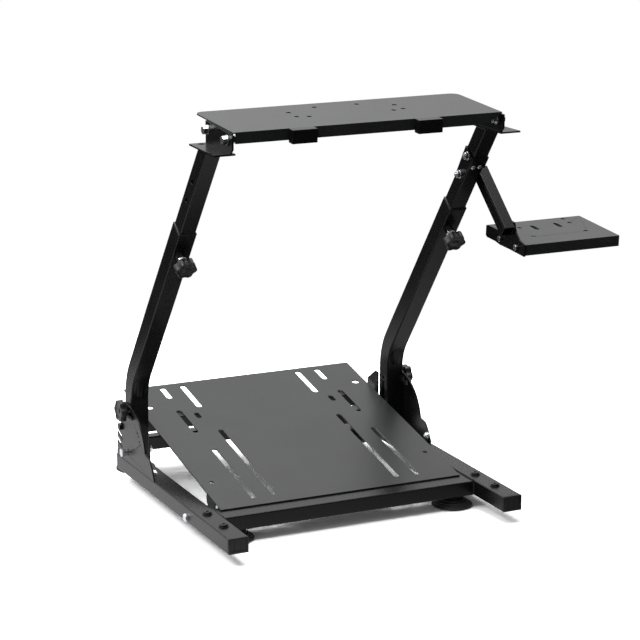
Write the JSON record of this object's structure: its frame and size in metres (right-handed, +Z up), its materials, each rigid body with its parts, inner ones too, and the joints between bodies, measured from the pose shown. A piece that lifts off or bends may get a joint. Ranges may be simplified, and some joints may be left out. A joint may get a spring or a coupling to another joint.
{
  "type": "racing wheel stand",
  "caption": "Folding steel stand with a tilting wheel plate, telescoping uprights, a slotted pedal plate and a shifter plate on an arm.",
  "frame": {"origin": "on the floor, under the middle of the stand's box", "axes": "+X to the driver's right, +Y away from the driver, +Z up"},
  "size_m": [0.8125, 0.634, 0.7537],
  "materials": {
    "frame_coat": "satin black powder coat",
    "plate_coat": "fine-textured black powder coat",
    "plastic": "moulded black plastic",
    "rubber": "moulded black rubber",
    "zinc": "bright zinc plate"
  },
  "bodies": {
    "base": {"rail_left": "frame_coat", "rail_right": "frame_coat", "cap_front_left": "plastic", "cap_front_right": "plastic", "cap_rear_left": "plastic", "cap_rear_right": "plastic", "front_cross_tube": "frame_coat", "rear_cross_tube": "frame_coat", "foot_front_left": "rubber", "foot_front_right": "rubber", "foot_rear_left": "rubber", "foot_rear_right": "rubber", "pivot_plate_outer_left": "frame_coat", "pivot_plate_outer_right": "frame_coat", "pivot_plate_inner_left": "frame_coat", "pivot_plate_inner_right": "frame_coat", "pivot_bolt_left": "zinc", "pivot_bolt_right": "zinc", "notch_bolt_left": "frame_coat", "notch_bolt_right": "frame_coat", "pedal_bolt_left": "zinc", "pedal_bolt_right": "zinc"},
    "uprights": {"sleeve_left": "frame_coat", "sleeve_right": "frame_coat"},
    "head": {"upper_tube_left": "frame_coat", "upper_tube_right": "frame_coat", "head_bracket_left": "frame_coat", "head_bracket_right": "frame_coat", "shifter_clamp": "frame_coat", "shifter_arm": "frame_coat", "shifter_bracket": "frame_coat"},
    "wheel_deck": {"wheel_plate": "plate_coat", "stop_block_left": "frame_coat", "stop_block_right": "frame_coat", "tilt_bolts_left": "zinc", "tilt_bolts_right": "zinc"},
    "pedal_deck": {"pedal_plate": "plate_coat", "pedal_support_tube": "frame_coat"},
    "shifter_tray": {"shifter_plate": "plate_coat", "shifter_bolts": "zinc"},
    "fold_knob_left": {"fold_knob_left": "plastic"},
    "fold_knob_right": {"fold_knob_right": "plastic"},
    "height_knob_left": {"height_knob_left": "plastic"},
    "height_knob_right": {"height_knob_right": "plastic"}
  },
  "joints": [
    {"name": "frame_fold", "type": "hinge", "parent": "base", "child": "uprights", "pos_m": [-0.10175, 0.169, 0.071], "axis": [1, 0, 0], "range_deg": [0, 20]},
    {"name": "height_slide", "type": "slide", "parent": "uprights", "child": "head", "axis": [0, -0.6004, 0.7997], "range_m": [-0.046, 0.046]},
    {"name": "wheel_plate_tilt", "type": "hinge", "parent": "head", "child": "wheel_deck", "pos_m": [-0.10175, -0.17478, 0.73398], "axis": [1, 0, 0], "range_deg": [-3, 4]},
    {"name": "pedal_plate_tilt", "type": "hinge", "parent": "base", "child": "pedal_deck", "pos_m": [-0.10175, -0.127, 0.033], "axis": [1, 0, 0], "range_deg": [-6, 0]},
    {"name": "shifter_plate_tilt", "type": "hinge", "parent": "head", "child": "shifter_tray", "pos_m": [0.20825, -0.18806, 0.49637], "axis": [1, 0, 0], "range_deg": [-5, 5]},
    {"name": "fold_knob_left_turn", "type": "hinge", "parent": "uprights", "child": "fold_knob_left", "pos_m": [-0.39875, 0.169, 0.153], "axis": [1, 0, 0], "continuous": true},
    {"name": "fold_knob_right_turn", "type": "hinge", "parent": "uprights", "child": "fold_knob_right", "pos_m": [0.19525, 0.169, 0.153], "axis": [1, 0, 0], "continuous": true},
    {"name": "height_knob_left_turn", "type": "hinge", "parent": "uprights", "child": "height_knob_left", "pos_m": [-0.36825, -0.07594, 0.48327], "axis": [0, -0.7997, -0.6004], "continuous": true},
    {"name": "height_knob_right_turn", "type": "hinge", "parent": "uprights", "child": "height_knob_right", "pos_m": [0.16475, -0.07594, 0.48327], "axis": [0, -0.7997, -0.6004], "continuous": true}
  ]
}
